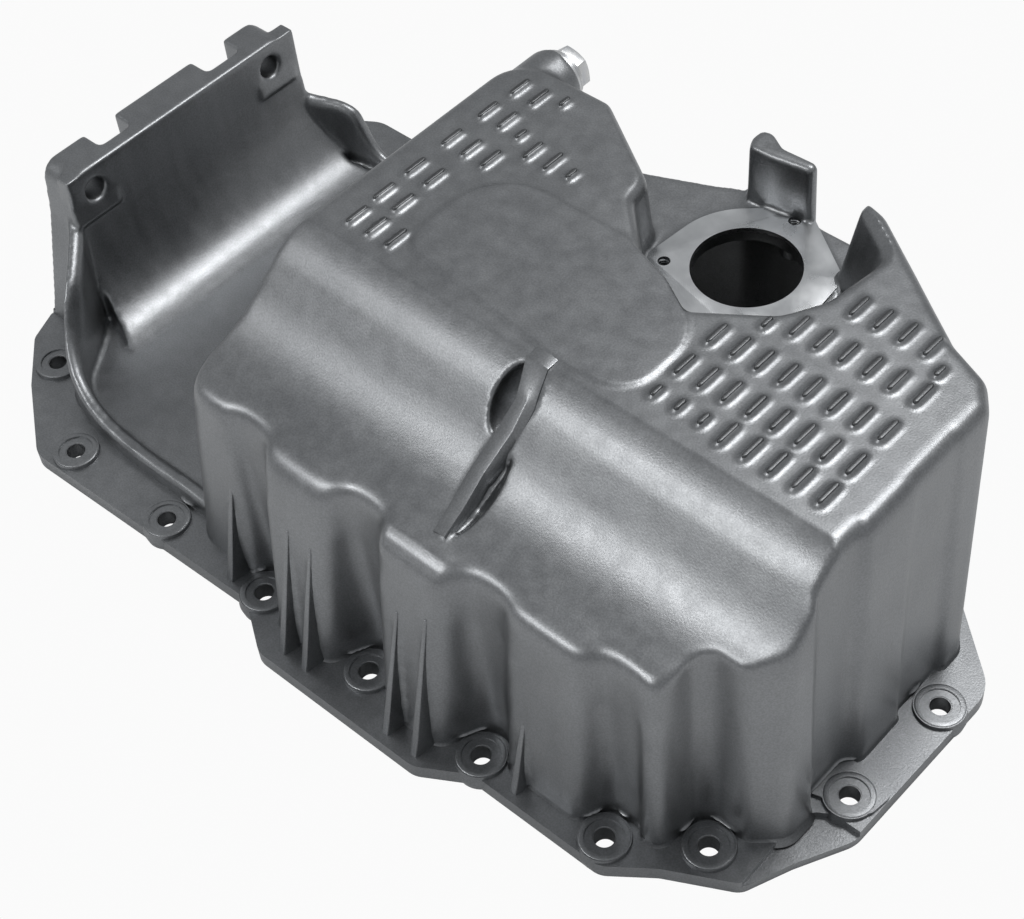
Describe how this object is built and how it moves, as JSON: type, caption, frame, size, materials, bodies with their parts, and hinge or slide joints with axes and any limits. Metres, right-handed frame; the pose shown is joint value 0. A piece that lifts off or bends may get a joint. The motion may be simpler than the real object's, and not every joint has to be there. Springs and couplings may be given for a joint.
{
  "type": "engine oil pan",
  "caption": "Cast engine oil pan with a deep hollow-sloped sump, bell-housing end wall, round sensor seat, drain plug and bolt flange.",
  "frame": {"origin": "centre of the part's box, on the plane of the gasket face that it rests on", "axes": "+X along the engine towards the timing end, +Y towards the drain side, +Z from the gasket face to the sump's flat bottom"},
  "size_m": [0.4408, 0.2634, 0.1422],
  "materials": {
    "cast_aluminium": "satin die cast",
    "zinc_steel": "zinc plated",
    "seal_metal": "soft metal ring"
  },
  "bodies": {
    "pan": {"oil_pan": "cast_aluminium"},
    "seal": {"drain_seal": "seal_metal"},
    "plug": {"drain_plug": "zinc_steel"}
  },
  "joints": [
    {"name": "drain_plug_travel", "type": "slide", "parent": "pan", "child": "seal", "axis": [0, 1, 0], "range_m": [0, 0.0165]},
    {"name": "drain_plug_turn", "type": "hinge", "parent": "seal", "child": "plug", "pos_m": [-0.0444, 0.09872, 0.1255], "axis": [0, 1, 0], "range_deg": [0, 3960]}
  ],
  "couplings": [
    {"joint": "drain_plug_turn", "follows": "drain_plug_travel", "rad_per_m": 4188.8}
  ]
}
